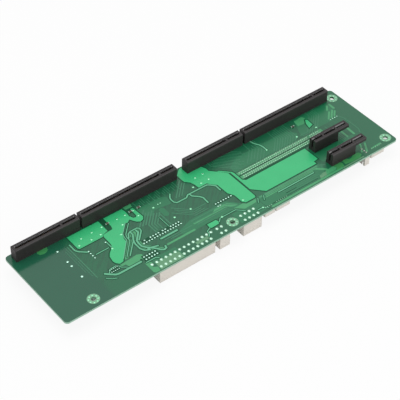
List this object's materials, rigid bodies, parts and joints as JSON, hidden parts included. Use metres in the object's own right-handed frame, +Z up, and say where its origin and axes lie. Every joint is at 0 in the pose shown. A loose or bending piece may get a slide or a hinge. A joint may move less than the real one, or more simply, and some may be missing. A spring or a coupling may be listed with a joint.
{
  "type": "passive backplane",
  "caption": "Long printed board with a row of black card-edge slots for a host board, card slots at one end and white power headers under its front edge.",
  "frame": {"origin": "under the middle of the printed board, in the plane of the power headers' mouths", "axes": "+X along the board, +Y from the front edge with the power headers to the host row, +Z up out of the face with the host row"},
  "size_m": [0.321, 0.0804, 0.0257],
  "materials": {
    "board": "satin solder mask over copper",
    "black_plastic": "moulded, fine matte",
    "gilt_contact": "gold-plated",
    "white_plastic": "moulded natural nylon",
    "tinned_metal": "tin-plated",
    "ceramic": "fired ceramic"
  },
  "bodies": {
    "root": {"circuit_board": "board", "host_slot_a_housing": "black_plastic", "host_slot_a_contacts": "gilt_contact", "host_slot_b_housing": "black_plastic", "host_slot_b_contacts": "gilt_contact", "host_slot_c_housing": "black_plastic", "host_slot_c_contacts": "gilt_contact", "host_slot_d_housing": "black_plastic", "host_slot_d_contacts": "gilt_contact", "rear_card_slot_housing": "black_plastic", "rear_card_slot_contacts": "gilt_contact", "front_card_slot_housing": "black_plastic", "front_card_slot_contacts": "gilt_contact", "underside_slot_housing": "black_plastic", "underside_slot_contacts": "gilt_contact", "underside_slot_solder_tails": "tinned_metal", "main_power_housing": "white_plastic", "main_power_pins": "tinned_metal", "four_way_power_housing": "white_plastic", "four_way_power_pins": "tinned_metal", "eight_way_power_housing": "white_plastic", "eight_way_power_pins": "tinned_metal", "left_signal_header_housing": "white_plastic", "left_signal_header_pins": "tinned_metal", "middle_signal_header_housing": "white_plastic", "middle_signal_header_pins": "tinned_metal", "right_signal_header_housing": "white_plastic", "right_signal_header_pins": "tinned_metal", "fan_header_housing": "white_plastic", "fan_header_pins": "tinned_metal", "chip_capacitor_bodies": "ceramic", "chip_capacitor_terminals": "tinned_metal"}
  },
  "joints": []
}
